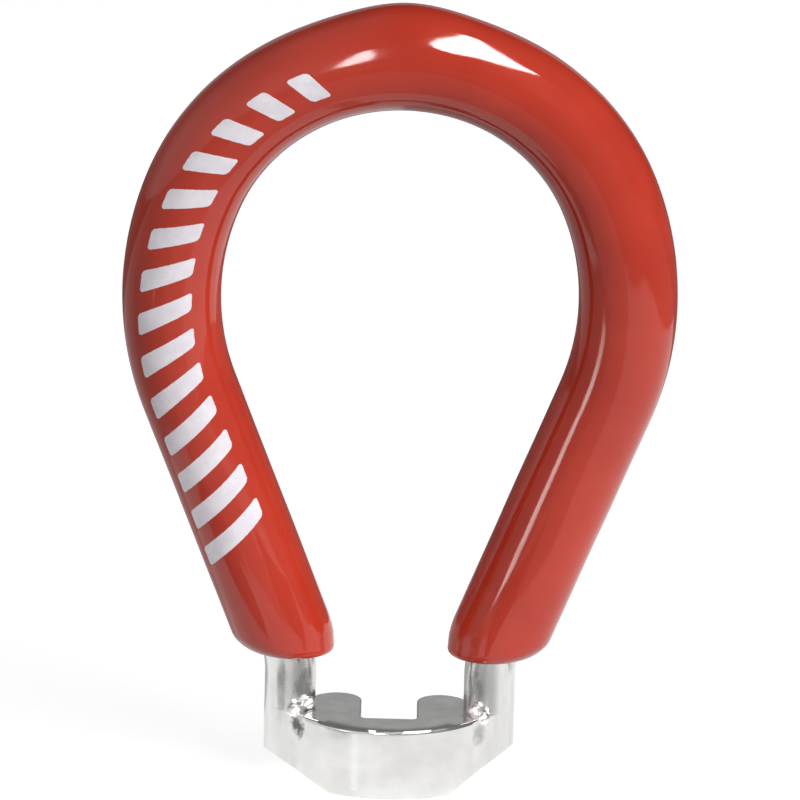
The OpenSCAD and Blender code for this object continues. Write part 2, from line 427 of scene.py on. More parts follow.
def nickel(name):
    """Bright plate: cloudy on the block, streaked on the bar ends, dull and pitted beside the braze, with
    painted shade on the inner sides of the bar ends and darker blotches just under the grip's lip.
    """
    material, tree, surface = new_finish(name)
    place = object_place(tree)
    from_foot = split(tree, both_feet(tree, place))
    surface.inputs["Metallic"].default_value = 1.0

    flat_foot = add(tree, "ShaderNodeCombineXYZ", {0: from_foot[0], 1: from_foot[1]}).outputs[0]
    on_bar = ramp(tree, length(tree, flat_foot), *ON_BAR)
    drawn = add(tree, "ShaderNodeMapping", {"Vector": place, "Scale": DRAWN_STRETCH}).outputs[0]
    clouds = ramp(tree, noise(tree, place, scale=430.0, detail=5.0), 0.32, 0.68)
    streaks = ramp(tree, noise(tree, drawn, scale=1500.0, detail=4.0, seed=1.0), 0.3, 0.7)
    tone = mix_number(tree, on_bar, clouds, streaks)
    bright = mix_colour(tree, tone, PLATE_DEEP, PLATE_BRIGHT)

    # Painted shade: the inner side of each bar end, above the top of the block, is darkened towards the
    # dark plate colour, broken up by noise.
    inner = ramp(tree, from_foot[0], *INNER_SIDE)
    fading = ramp(tree, from_foot[0], *INNER_FADE, to_low=1.0, to_high=0.3)
    inner = calc(tree, "MULTIPLY", inner, fading)
    shade_blotches = noise(tree, drawn, scale=900.0, detail=5.0, seed=4.0, rough=0.6)
    shade_depth = calc(tree, "MULTIPLY_ADD", ramp(tree, shade_blotches, 0.3, 0.62), SHADE_MORE, SHADE_LEAST)
    shade = calc(tree, "MULTIPLY", calc(tree, "MULTIPLY", inner, on_bar), shade_depth)
    above_top = ramp(tree, from_foot[2], *ABOVE_TOP)
    shade = calc(tree, "MULTIPLY", shade, above_top)
    # Darker blotches in a band just under the lip of the grip.
    lip_rise = LIP_Z - HEAD_H
    under_lip = ramp(tree, from_foot[2], lip_rise - DARK_UNDER_LIP_HEIGHT, lip_rise)
    under_lip_blotches = noise(tree, drawn, scale=1300.0, detail=5.0, seed=8.0, rough=0.6)
    dark_under_lip = calc(tree, "MULTIPLY", under_lip, ramp(tree, under_lip_blotches, 0.47, 0.6))

    pitted = noise(tree, place, scale=2300.0, detail=5.0, seed=5.0, rough=0.65)
    pits = calc(tree, "SUBTRACT", pitted, 0.5)
    burnt = 0.0
    for spot, reach, strength in SCORCHES:
        away = length(tree, vector_calc(tree, "SUBTRACT", place, tuple(spot)))
        ragged = calc(tree, "MULTIPLY_ADD", pits, -SCORCH_RAGGED, away)
        mark = calc(tree, "MULTIPLY", ramp(tree, ragged, reach, 0.2 * reach), strength)
        burnt = calc(tree, "MAXIMUM", burnt, mark)
    # The scorch marks, the painted shade and the darker band under the lip all darken the plate and make it
    # rougher.
    dull = calc(tree, "MAXIMUM", calc(tree, "MAXIMUM", dark_under_lip, burnt), shade)
    tree.links.new(mix_colour(tree, dull, bright, PLATE_SCORCH_AND_SHADE), surface.inputs["Base Color"])

    rubbed = noise(tree, place, scale=1300.0, detail=4.0, seed=9.0)
    wear = ramp(tree, rubbed, 0.3, 0.75, to_low=0.17, to_high=0.27)
    tree.links.new(calc(tree, "MULTIPLY_ADD", dull, SCORCH_AND_SHADE_ROUGHER, wear), surface.inputs["Roughness"])
    grain = calc(tree, "MULTIPLY", tone, GRAIN_HEIGHT)
    embossed(tree, surface, calc(tree, "MULTIPLY_ADD", burnt, -SCORCH_DEPTH, grain))
    return material


BRAZE_BRIGHT = (0.95, 0.95, 0.94, 1)
BRAZE_SOOT = (0.25, 0.24, 0.23, 1)


def braze_metal():
    """Bright plated lumps with sooty hollows."""
    material, tree, surface = new_finish("braze_metal")
    place = object_place(tree)
    surface.inputs["Metallic"].default_value = 1.0
    soot = ramp(tree, noise(tree, place, scale=2300.0, detail=4.0, seed=6.0), 0.55, 0.7)
    metal = mix_colour(tree, soot, BRAZE_BRIGHT, BRAZE_SOOT)
    tree.links.new(metal, surface.inputs["Base Color"])
    tree.links.new(ramp(tree, soot, 0.0, 1.0, to_low=0.38, to_high=0.5), surface.inputs["Roughness"])
    return material


# Geometry trees

def sized_tree(name, sizes):
    """A geometry tree with a line coming in, a named number for each size, and a material."""
    tree = bpy.data.node_groups.new(name, "GeometryNodeTree")
    tree.interface.new_socket("Line", in_out="INPUT", socket_type="NodeSocketGeometry")
    for size in sizes:
        tree.interface.new_socket(size, in_out="INPUT", socket_type="NodeSocketFloat")
    tree.interface.new_socket("Material", in_out="INPUT", socket_type="NodeSocketMaterial")
    tree.interface.new_socket("Piece", in_out="OUTPUT", socket_type="NodeSocketGeometry")
    return tree, tree.nodes.new("NodeGroupInput").outputs


def end_tree(tree, given, geometry):
    """Closes a tree: real geometry with its material."""
    real = add(tree, "GeometryNodeRealizeInstances", {0: geometry}).outputs[0]
    dressed = add(tree, "GeometryNodeSetMaterial", {0: real, "Material": given["Material"]}).outputs[0]
    add(tree, "NodeGroupOutput", {0: dressed})


def captured(tree, geometry, kinds):
    """Keeps values of the line for the mesh made along it. Returns the line and the kept values."""
    keep = add(tree, "GeometryNodeCaptureAttribute", domain="POINT")
    tree.links.new(geometry, keep.inputs[0])
    for name, (kind, socket) in kinds.items():
        keep.capture_items.new(kind, name)
        tree.links.new(socket, keep.inputs[name])
    return keep.outputs[0], {name: keep.outputs[name] for name in kinds}


def ring(tree, sides):
    """Round section of radius one."""
    return add(tree, "GeometryNodeCurvePrimitiveCircle", {"Resolution": sides, "Radius": 1.0}).outputs[0]


def tube(tree, line, sides, radius, closed_ends):
    """Mesh of a round section along a line."""
    inputs = {"Curve": line, "Profile Curve": ring(tree, sides), "Scale": radius, "Fill Caps": closed_ends}
    return add(tree, "GeometryNodeCurveToMesh", inputs).outputs[0]


def moved(tree, geometry, offset):
    """Geometry with its points moved."""
    return add(tree, "GeometryNodeSetPosition", {0: geometry, "Offset": offset}).outputs[0]


def smoothed(tree, geometry, selection=True, smooth=True):
    """Geometry shaded smooth, or flat."""
    inputs = {0: geometry, "Selection": selection, "Shade Smooth": smooth}
    return add(tree, "GeometryNodeSetShadeSmooth", inputs).outputs[0]


def bar_tree():
    """A round bar along a line, with flat ends."""
    tree, given = sized_tree("bent_bar", ["Radius"])
    line = add(tree, "GeometryNodeMeshToCurve", {0: given["Line"]}).outputs[0]
    solid = smoothed(tree, tube(tree, line, BAR_SIDES, given["Radius"], True))
    corners = add(tree, "GeometryNodeInputMeshFaceNeighbors").outputs["Vertex Count"]
    end_face = calc(tree, "GREATER_THAN", corners, 4.5)
    end_tree(tree, given, smoothed(tree, solid, end_face, False))
    return tree


GRIP_SIZES = (
    "Radius", "Bore", "Outer lip", "Inner lip", "Lip taper", "Level length",
    "Sag height", "Sag width", "Unevenness", "Seed",
)


# Distances from an end of the grip over which its taper fades out and its waves set in
TAPER_FADE = (2.4 * MM, 0.3 * MM)
WAVES_SET_IN = (1.0 * MM, 3.0 * MM)


def grip_tree():
    """A dipped coat along a line: level rounded lips, a sag at the top, a bore for the bar."""
    tree, given = sized_tree("dipped_grip", GRIP_SIZES)
    line = add(tree, "GeometryNodeMeshToCurve", {0: given["Line"]}).outputs[0]
    done = add(tree, "GeometryNodeSplineParameter").outputs["Length"]
    total = add(tree, "GeometryNodeSplineLength").outputs["Length"]
    line, kept = captured(tree, line, {
        "Centre": ("VECTOR", add(tree, "GeometryNodeInputPosition").outputs[0]),
        "Heading": ("VECTOR", add(tree, "GeometryNodeInputTangent").outputs[0]),
        "Along": ("FLOAT", calc(tree, "SUBTRACT", done, calc(tree, "MULTIPLY", total, 0.5))),
        "To end": ("FLOAT", calc(tree, "MINIMUM", done, calc(tree, "SUBTRACT", total, done))),
    })
    coat = tube(tree, line, GRIP_SIDES, given["Radius"], False)
    bore = tube(tree, line, GRIP_SIDES, given["Bore"], False)

    place = add(tree, "GeometryNodeInputPosition").outputs[0]
    away = vector_calc(tree, "NORMALIZE", vector_calc(tree, "SUBTRACT", place, kept["Centre"]))
    front = dot(tree, away, tuple(LOOP_FRONT))
    outward = dot(tree, away, vector_calc(tree, "CROSS_PRODUCT", tuple(LOOP_FRONT), kept["Heading"]))

    lip = mix_number(tree, ramp(tree, outward, -1.0, 1.0), given["Inner lip"], given["Outer lip"])
    lip_left = calc(tree, "MAXIMUM", calc(tree, "SUBTRACT", lip, kept["To end"]), 0.0)
    squared = calc(tree, "MULTIPLY", lip, lip)
    left_over = calc(tree, "SUBTRACT", squared, calc(tree, "MULTIPLY", lip_left, lip_left))
    rounding = calc(tree, "SUBTRACT", calc(tree, "SQRT", calc(tree, "MAXIMUM", left_over, 0.0)), lip)
    inner_side = ramp(tree, outward, 0.2, -0.9)
    narrow = calc(tree, "MULTIPLY", inner_side, ramp(tree, kept["To end"], *TAPER_FADE))
    rounding = calc(tree, "SUBTRACT", rounding, calc(tree, "MULTIPLY", narrow, given["Lip taper"]))
    at_end = calc(tree, "LESS_THAN", kept["To end"], FILM / 2)
    to_bore = calc(tree, "SUBTRACT", given["Bore"], given["Radius"])
    ending = {0: at_end, 1: rounding, 2: to_bore}
    rounding = add(tree, "GeometryNodeSwitch", ending, input_type="FLOAT").outputs[0]

    share = calc(tree, "DIVIDE", kept["Along"], given["Sag width"])
    bell = calc(tree, "EXPONENT", calc(tree, "MULTIPLY", calc(tree, "MULTIPLY", share, share), -1.0))
    facing = calc(tree, "POWER", calc(tree, "MAXIMUM", outward, 0.0), 1.3)
    sag = calc(tree, "MULTIPLY", calc(tree, "MULTIPLY", bell, facing), given["Sag height"])
    waves = noise(tree, place, scale=170.0, detail=1.0, seed=given["Seed"])
    waves = calc(tree, "SUBTRACT", waves, 0.75)
    clear = ramp(tree, kept["To end"], *WAVES_SET_IN)
    wave = calc(tree, "MULTIPLY", calc(tree, "MULTIPLY", waves, clear), given["Unevenness"])
    swelling = scaled(tree, away, calc(tree, "ADD", rounding, calc(tree, "MINIMUM", wave, 0.0)))
    coat = moved(tree, coat, vector_calc(tree, "ADD", scaled(tree, tuple(LOOP_UP), sag), swelling))
    around = add(tree, "ShaderNodeCombineXYZ", {0: front, 1: outward}).outputs[0]
    for name, kind, value in (("along", "FLOAT", kept["Along"]), ("around", "FLOAT_VECTOR", around)):
        inputs = {0: coat, "Name": name, "Value": value}
        store = add(tree, "GeometryNodeStoreNamedAttribute", inputs, data_type=kind, domain="POINT")
        coat = store.outputs[0]

    both = add(tree, "GeometryNodeJoinGeometry")
    for shell in (add(tree, "GeometryNodeFlipFaces", {0: bore}).outputs[0], coat):
        tree.links.new(shell, both.inputs[0])
    below = dot(tree, vector_calc(tree, "SUBTRACT", kept["Centre"], place), (0.0, 0.0, 1.0))
    climb = dot(tree, kept["Heading"], (0.0, 0.0, 1.0))
    near_end = ramp(tree, kept["To end"], given["Level length"], 0.0)
    steep = calc(tree, "MAXIMUM", calc(tree, "ABSOLUTE", climb), 0.5)
    slide = calc(tree, "DIVIDE", calc(tree, "MULTIPLY", below, calc(tree, "SIGN", climb)), steep)
    sliding = scaled(tree, kept["Heading"], calc(tree, "MULTIPLY", slide, near_end))
    level = moved(tree, both.outputs[0], sliding)
    closed = add(tree, "GeometryNodeMergeByDistance", {0: level, "Distance": FILM / 10}).outputs[0]
    end_tree(tree, given, smoothed(tree, closed))
    return tree


def bead_tree():
    """A lumpy bead of braze along a line, tapered at both ends."""
    tree, given = sized_tree("braze_bead", ["Radius", "Lumps", "Lumpiness", "Roughness", "Seed"])
    line = add(tree, "GeometryNodeMeshToCurve", {0: given["Line"]}).outputs[0]
    done = add(tree, "GeometryNodeSplineParameter").outputs["Factor"]
    from_middle = calc(tree, "MULTIPLY_ADD", done, 2.0, -1.0)
    fourth = calc(tree, "POWER", calc(tree, "ABSOLUTE", from_middle), 4.0)
    taper = calc(tree, "SQRT", calc(tree, "SUBTRACT", 1.03, fourth))
    swells = calc(tree, "MULTIPLY", done, given["Lumps"])
    turns = calc(tree, "MULTIPLY_ADD", swells, math.tau, given["Seed"])
    lump = calc(tree, "MULTIPLY_ADD", calc(tree, "SINE", turns), given["Lumpiness"], 1.0)
    radius = calc(tree, "MULTIPLY", calc(tree, "MULTIPLY", given["Radius"], taper), lump)
    solid = tube(tree, line, BEAD_SIDES, radius, True)
    place = add(tree, "GeometryNodeInputPosition").outputs[0]
    waves = calc(tree, "SUBTRACT", noise(tree, place, scale=1500.0, seed=given["Seed"]), 0.5)
    normal = add(tree, "GeometryNodeInputNormal").outputs[0]
    rough = moved(tree, solid, scaled(tree, normal, calc(tree, "MULTIPLY", waves, given["Roughness"])))
    end_tree(tree, given, smoothed(tree, rough))
    return tree


def plain_mesh(piece):
    """Turns what the modifiers make into the piece's own mesh."""
    made = piece.evaluated_get(bpy.context.evaluated_depsgraph_get())
    mesh = bpy.data.meshes.new_from_object(made)
    piece.modifiers.clear()
    piece.data = mesh
    return piece


def new_piece(name, mesh):
    """Object with a mesh, at the origin."""
    piece = bpy.data.objects.new(name, mesh)
    bpy.context.scene.collection.objects.link(piece)
    return piece


def made_along(name, points, tree, values):
    """Runs a tree on a line of points, with its sizes, and returns a plain mesh."""
    line = bpy.data.meshes.new(name)
    line.from_pydata(points, [(k, k + 1) for k in range(len(points) - 1)], [])
    piece = new_piece(name, line)
    build = piece.modifiers.new("build", "NODES")
    build.node_group = tree
    for item in tree.interface.items_tree:
        if item.in_out == "INPUT" and item.name in values:
            build[item.identifier] = values[item.name]
    return plain_mesh(piece)


# The jaw block

NOSE_REACH = SLOT_W / 2 + NOSE_WALL
NOSE_Y = NOSE_R - NOSE_REACH
JAW_X = SLOT_W / 2 + JAW_TIP_R
JAW_TIP_Y = JAW_REACH - JAW_TIP_R
SHOULDER_BACK = BAR_SET + BAR_R


def arc(centre, radius, start, end, step=OUTLINE_STEP):
    """Points of an arc in plan, both ends included."""
    count = max(3, math.ceil(abs(end - start) * radius / step))
    angles = [start + (end - start) * k / count for k in range(count + 1)]
    return [Vector((centre[0] + radius * math.cos(a), centre[1] + radius * math.sin(a))) for a in angles]


def hollow_centre():
    """Centre of the hollow that touches the rounded front and the round end of a shoulder."""
    to_tang = Vector((TANG_X, BAR_SET - NOSE_Y))
    span = to_tang.length
    ahead = to_tang / span
    along = ((NOSE_R + WAIST_R) ** 2 - (BAR_R + WAIST_R) ** 2 + span ** 2) / (2 * span)
    out = math.sqrt((NOSE_R + WAIST_R) ** 2 - along ** 2)
    return Vector((0, NOSE_Y)) + along * ahead + out * Vector((ahead.y, -ahead.x))


def block_outline():
    """Outline of the block from above, counterclockwise from the middle of the front."""
    nose = Vector((0, NOSE_Y))
    tang = Vector((TANG_X, BAR_SET))
    hollow = hollow_centre()
    nose_end = math.atan2(hollow.y - nose.y, hollow.x)
    hollow_start = math.atan2(nose.y - hollow.y, -hollow.x)
    hollow_end = math.atan2(tang.y - hollow.y, tang.x - hollow.x)
    end_start = math.atan2(hollow.y - tang.y, hollow.x - tang.x)
    tip_start = math.asin((SHOULDER_BACK - JAW_TIP_Y) / JAW_TIP_R)
    corner = Vector((SLOT_W / 2 - SLOT_CORNER_R, -SLOT_W / 2 + SLOT_CORNER_R))
    right = arc(nose, NOSE_R, -math.pi / 2, nose_end)
    right += arc(hollow, WAIST_R, hollow_start, hollow_end, FINE_STEP)[1:]
    right += arc(tang, BAR_R, end_start, math.pi / 2)[1:]
    right += arc((JAW_X, JAW_TIP_Y), JAW_TIP_R, tip_start, math.pi)
    right += arc(corner, SLOT_CORNER_R, 0, -math.pi / 2, FINE_STEP)
    left = [Vector((-p.x, p.y)) for p in right[1:]]
    return right + left[::-1]


def with_points_at(outline, x):
    """The outline with a point wherever it crosses a line across the block."""
    whole = []
    for k, start in enumerate(outline):
        end = outline[(k + 1) % len(outline)]
        whole.append(start)
        if (start.x - x) * (end.x - x) < 0:
            whole.append(start.lerp(end, (x - start.x) / (end.x - start.x)))
    return whole


def bevel_start(side):
    """Where the bevel of one side begins, across the block."""
    width = RIGHT_BEVEL[0] if side > 0 else LEFT_BEVEL[0]
    return side * (HEAD_W / 2 - width)


# Rise of a bevel for each millimetre that the wall stands ahead of the straight line between its ends
BEVEL_TILT = 0.25


def underside(point):
    """Height of the underside: the foot, or one of the bevels, whose front edges are ground straight."""
    width, height = RIGHT_BEVEL if point.x > 0 else LEFT_BEVEL
    share = 1 - (HEAD_W / 2 - abs(point.x)) / width
    if share <= 0:
        return 0
    start_x = HEAD_W / 2 - width
    start_y = NOSE_Y - math.sqrt(NOSE_R ** 2 - start_x ** 2)
    straight_y = start_y + (BAR_SET - start_y) * share
    trim = BEVEL_TILT * (straight_y - point.y) if point.y < BAR_SET else 0
    return max(0, height * share + trim)


# The upper edge: sharp within the first reach of a bar end's middle and fully round past the second,
# with a hair of radius where it is sharp, and with its larger radius only ahead of the slot
SHARP_REACH = 2.3 * MM
ROUND_REACH = 3.2 * MM
SHARP_EDGE_R = 0.004 * MM
FRONT_WALL_BACK = -SLOT_W / 2 - 0.3 * MM


def upper_edge_r(point):
    """Radius of the upper edge at a place of the outline: full in front, none round the bar ends."""
    from_tang = math.hypot(abs(point.x) - TANG_X, point.y - BAR_SET)
    clear = min(max((from_tang - SHARP_REACH) / (ROUND_REACH - SHARP_REACH), 0), 1)
    full = EDGE_R if point.y < FRONT_WALL_BACK else JAW_EDGE_R
    return SHARP_EDGE_R + full * clear * clear * (3 - 2 * clear)


# Pits beside the braze: greatest depth, lumps to the metre, the evenness, step and number of the layers
# of their noise, and how it is cut off
PIT_DEPTH = 0.14 * MM
PIT_SCALE = 1900
PIT_LAYERS = (0.9, 2.0, 3)
PIT_LEVEL = 0.3
PIT_CONTRAST = 0.9


def pit_depth(point, z):
    """How deep the braze has eaten into the wall at a place beside a bar end."""
    place = Vector((point.x, point.y, z))
    depth = 0
    for spot, reach, strength in SCORCHES:
        near = 1 - (place - spot).length / reach
        if near > 0:
            rough = fractal.fractal(place * PIT_SCALE, *PIT_LAYERS)
            eaten = min(max(PIT_LEVEL + PIT_CONTRAST * rough, 0), 1)
            depth = max(depth, PIT_DEPTH * strength * min(near * 2, 1) * eaten)
    return depth


def block_rings(outline):
    """Rings of points up the block: rounded lower edge, wall, rounded upper edge."""
    count = len(outline)
    inward = []
    for k in range(count):
        before = (outline[k] - outline[k - 1]).normalized()
        after = (outline[(k + 1) % count] - outline[k]).normalized()
        along = (before + after).normalized()
        inward.append(Vector((-along.y, along.x)))
    rings = []
    for step in range(LOWER_RINGS + 1):
        angle = step / LOWER_RINGS * math.pi / 2
        inset = LOWER_EDGE_R * (1 - math.sin(angle))
        lift = LOWER_EDGE_R * (1 - math.cos(angle))
        flat = [p + inset * n for p, n in zip(outline, inward)]
        rings.append([Vector((p.x, p.y, underside(q) + lift)) for p, q in zip(flat, outline)])
    for step in range(1, WALL_RINGS):
        level = []
        for p, n in zip(outline, inward):
            low = underside(p) + LOWER_EDGE_R
            z = low + (HEAD_H - upper_edge_r(p) - low) * step / WALL_RINGS
            deep = p + pit_depth(p, z) * n
            level.append(Vector((deep.x, deep.y, z)))
        rings.append(level)
    for step in range(EDGE_RINGS + 1):
        angle = step / EDGE_RINGS * math.pi / 2
        level = []
        for p, n in zip(outline, inward):
            radius = upper_edge_r(p)
            z = HEAD_H - radius * (1 - math.sin(angle))
            inner = p + (radius * (1 - math.cos(angle)) + pit_depth(p, z)) * n
            level.append(Vector((inner.x, inner.y, z)))
        rings.append(level)
    return rings


def jaw_block():
    """Plated block: rings up its outline, closed by the top, the foot and the two bevels."""
    left_x, right_x = bevel_start(-1), bevel_start(1)
    outline = with_points_at(with_points_at(block_outline(), left_x), right_x)
    count = len(outline)
    shape = bmesh.new()
    rings = [[shape.verts.new(p) for p in level] for level in block_rings(outline)]
    for lower, upper in zip(rings, rings[1:]):
        for k in range(count):
            after = (k + 1) % count
            shape.faces.new((lower[k], lower[after], upper[after], upper[k]))
    shape.faces.new(rings[-1])
    hair = 1e-7
    for low, high in ((-HEAD_W, left_x), (left_x, right_x), (right_x, HEAD_W)):
        under = [v for v, p in zip(rings[0], outline) if low - hair <= p.x <= high + hair]
        shape.faces.new(under[::-1])
    for face in shape.faces:
        face.smooth = True
    mesh = bpy.data.meshes.new("jaw_block")
    shape.to_mesh(mesh)
    shape.free()
    piece = new_piece("jaw_block", mesh)
    shading = piece.modifiers.new("even_shading", "WEIGHTED_NORMAL")
    shading.mode = "FACE_AREA"
    shading.weight = 50
    plain_mesh(piece)
    piece.data.materials.append(nickel("plated_steel"))
    return piece


# The pieces, each on the one body of the tool and in the place of its solid

def put_in_place(piece, node):
    """Puts a piece on the tool: it rides on the tool's body and stands for its solid, which is hidden."""
    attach(piece, "root")
    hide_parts(node)


put_in_place(jaw_block(), "wrench_head")

bar_sizes = {"Radius": BAR_R, "Material": nickel("plated_bar")}
bent_bar = made_along("bent_bar", bar_line(LINE_STEP), bar_tree(), bar_sizes)
put_in_place(bent_bar, "handle_bar")

bead_shape = bead_tree()
bead_finish = braze_metal()
for side, name, stations, seed in ((-1, "left", LEFT_BEAD, -1.5), (1, "right", RIGHT_BEAD, -1.7)):
    bead_sizes = {
        "Radius": 0.33 * MM,
        "Lumps": 2.0,
        "Lumpiness": 0.34,
        "Roughness": 0.012 * MM,
        "Seed": seed,
        "Material": bead_finish,
    }
    line = bead_line(side, stations, BEAD_PARTS)
    bead = made_along("braze_bead_" + name, line, bead_shape, bead_sizes)
    put_in_place(bead, "braze_" + name)

grip_sizes = {
    "Radius": GRIP_R,
    "Bore": BAR_R + FILM,
    "Outer lip": LIP_OUTER_R,
    "Inner lip": LIP_INNER_R,
    "Lip taper": LIP_TAPER,
    "Level length": 7.0 * MM,
    "Sag height": SAG_H,
    "Sag width": 3.1 * MM,
    "Unevenness": 0.06 * MM,
    "Seed": 4.0,
    "Material": red_vinyl(),
}
dipped_grip = made_along("dipped_grip", grip_line(LINE_STEP, LIP_RINGS), grip_tree(), grip_sizes)
put_in_place(dipped_grip, "vinyl_grip")


# Floor, cards and light

def flat_card(name, corners, material):
    """One face through its corners, part of the studio."""
    mesh = bpy.data.meshes.new(name)
    mesh.from_pydata(corners, [], [tuple(range(len(corners)))])
    card = new_piece(name, mesh)
    mesh.materials.append(material)
    return card


def glow(name, strength):
    """Even light of one strength."""
    material = bpy.data.materials.new(name)
    material.use_nodes = True
    tree = material.node_tree
    tree.nodes.clear()
    light = add(tree, "ShaderNodeEmission", {"Strength": strength}).outputs[0]
    add(tree, "ShaderNodeOutputMaterial", {0: light})
    return material


def only_mirrored(item):
    """Shows an item in reflections alone."""
    item.visible_camera = False
    item.visible_diffuse = False
    item.visible_transmission = False
    item.visible_volume_scatter = False
    item.visible_shadow = False


# Floor: half its width in metres, how much light it throws back, its own light where it is seen
FLOOR_HALF = 3.0
FLOOR_SHARE = 0.38
FLOOR_LIFT = 0.84


def pale_floor():
    """White floor that takes the shadow, lifted to white where it is seen or mirrored."""
    material = bpy.data.materials.new("pale_floor")
    material.use_nodes = True
    tree = material.node_tree
    tree.nodes.clear()
    grey = (FLOOR_SHARE, FLOOR_SHARE, FLOOR_SHARE, 1)
    paper = add(tree, "ShaderNodeBsdfDiffuse", {"Color": grey}).outputs[0]
    path = add(tree, "ShaderNodeLightPath").outputs
    seen = calc(tree, "MAXIMUM", path["Is Camera Ray"], path["Is Glossy Ray"])
    seen = calc(tree, "MAXIMUM", seen, path["Is Transmission Ray"])
    strength = calc(tree, "MULTIPLY", seen, FLOOR_LIFT)
    lift = add(tree, "ShaderNodeEmission", {"Strength": strength}).outputs[0]
    lit = add(tree, "ShaderNodeAddShader", {0: paper, 1: lift}).outputs[0]
    add(tree, "ShaderNodeOutputMaterial", {0: lit})
    corners = [(x * FLOOR_HALF, y * FLOOR_HALF, 0) for x, y in ((-1, -1), (1, -1), (1, 1), (-1, 1))]
    flat_card("floor", corners, material)


def towards(azimuth, elevation, distance=1.0):
    """Place round the tool: azimuth 0 is in front, positive to the right, in degrees."""
    a = azimuth * DEG
    e = elevation * DEG
    return Vector((math.sin(a) * math.cos(e), -math.cos(a) * math.cos(e), math.sin(e))) * distance


# Middle of the tool, and how far from it the bright cards stand, in metres
TOOL_MIDDLE = Vector((0, -0.003, 0.026))
CARD_DISTANCE = 0.7


def card_at(name, directions, strength):
    """Bright card round the tool, its corners given by azimuth and elevation, seen in reflections alone."""
    corners = [TOOL_MIDDLE + towards(*direction, CARD_DISTANCE) for direction in directions]
    only_mirrored(flat_card(name, corners, glow(name, strength)))


def floor_card(name, corners, lift, strength):
    """Card just above the floor, its corners in millimetres, seen in reflections alone."""
    raised = [Vector((x, y, lift)) * MM for x, y in corners]
    only_mirrored(flat_card(name, raised, glow(name, strength)))


# Card behind the tool: half its width, its distance, foot and top in metres,
# and the heights and strengths between which it turns from dark to pale
BACK_HALF_W = 0.09
BACK_Y = 0.16
BACK_FOOT = 0.001
BACK_TOP = 0.14
BACK_TURN = (0.02, 0.05)
BACK_STRENGTHS = (0.1, 0.42)


def back_card():
    """Grey card behind the tool: dark low down, where it draws the rim of the vinyl, paler above."""
    material = bpy.data.materials.new("back_card")
    material.use_nodes = True
    tree = material.node_tree
    tree.nodes.clear()
    rise = split(tree, object_place(tree))[2]
    strength = ramp(tree, rise, *BACK_TURN, *BACK_STRENGTHS)
    light = add(tree, "ShaderNodeEmission", {"Strength": strength}).outputs[0]
    add(tree, "ShaderNodeOutputMaterial", {0: light})
    foot = [(x, BACK_Y, BACK_FOOT) for x in (-BACK_HALF_W, BACK_HALF_W)]
    top = [(x, BACK_Y, BACK_TOP) for x in (BACK_HALF_W, -BACK_HALF_W)]
    corners = foot + top
    only_mirrored(flat_card("back_card", corners, material))


# Dull band above the front rim of the block, and the two bright patches that draw its glints:
# angles from the middle of the front in degrees, reach ahead of the rim and behind it, lift, strength
RIM_CARDS = (
    ("rim_card", (-47, 47), 1.0 * MM, 1.4 * MM, 0.3 * MM, 0.17),
    ("left_glint_card", (-11.8, -7.4), 0.9 * MM, 0.3 * MM, 0.27 * MM, 1.6),
    ("right_glint_card", (8.8, 25.5), 0.9 * MM, 0.2 * MM, 0.27 * MM, 1.6),
)


def rim_cards():
    """Curved cards just above the front rim of the block."""
    for name, angles, ahead, behind, lift, strength in RIM_CARDS:
        start, end = [angle * DEG - math.pi / 2 for angle in angles]
        outer = arc((0, NOSE_Y), NOSE_R + ahead, start, end)
        inner = arc((0, NOSE_Y), NOSE_R - behind, end, start)
        corners = [Vector((p.x, p.y, HEAD_H + lift)) for p in outer + inner]
        only_mirrored(flat_card(name, corners, glow(name, strength)))


# Bright cards round the tool: corners by azimuth and elevation in degrees, strength
BRIGHT_CARDS = (
    ("window_card", (
        (10.5, 33.5), (12, 31), (17, 30), (26, 36), (36, 38), (46, 40.5), (61, 43),
        (56, 48), (61, 57), (77, 64), (69, 66), (37, 58.5), (20, 50), (11, 39),
    ), 27.0),
    ("lamp_card", (
        (-9.9, 6.4), (-7.8, 9), (-8.2, 17.6), (-11.9, 27.5), (-14.4, 26.3), (-14.4, 17.9), (-12.8, 9.9),
    ), 22.0),
)

# Cards just above the floor: corners from above and lift in millimetres, strength
FLOOR_END = FLOOR_HALF / MM
FLOOR_CARDS = (
    ("front_card", ((14, -24), (14, -160), (-29, -160), (-29, -24)), 0.3, 0.56),
    ("far_card", (
        (-29, -FLOOR_END), (FLOOR_END, -FLOOR_END), (FLOOR_END, 70), (92, 70), (86, -40),
        (66, -62), (14, -62), (14, -160), (-29, -160),
    ), 0.3, 0.3),
    ("left_card", (
        (-38, 12), (-FLOOR_END, 12), (-FLOOR_END, -FLOOR_END), (-29, -FLOOR_END), (-29, -24), (-38, -9),
    ), 0.3, 0.4),
    ("near_left_card", ((-12, -24), (-12, -12), (-19, -9), (-29, -9), (-29, -24)), 0.35, 0.3),
    ("back_left_card", ((0, 12), (0, 90), (-FLOOR_END, 90), (-FLOOR_END, 12)), 0.3, 0.5),
    ("back_floor_card", (
        (0, 90), (0, 70), (FLOOR_END, 70),
        (FLOOR_END, FLOOR_END), (-FLOOR_END, FLOOR_END), (-FLOOR_END, 90),
    ), 0.3, 0.15),
    ("stripe_card", ((-2.0, -4.65), (-2.4, -4.35), (-15.4, -19.7), (-13.2, -21.3)), 0.4, 1.25),
)

# Dull upright card ahead of the block, its corners in millimetres
MIDDLE_CARD = ((2.5, -6, 5), (2.5, -18, 5), (2.5, -18, 12), (2.5, -6, 12))
MIDDLE_STRENGTH = 0.25


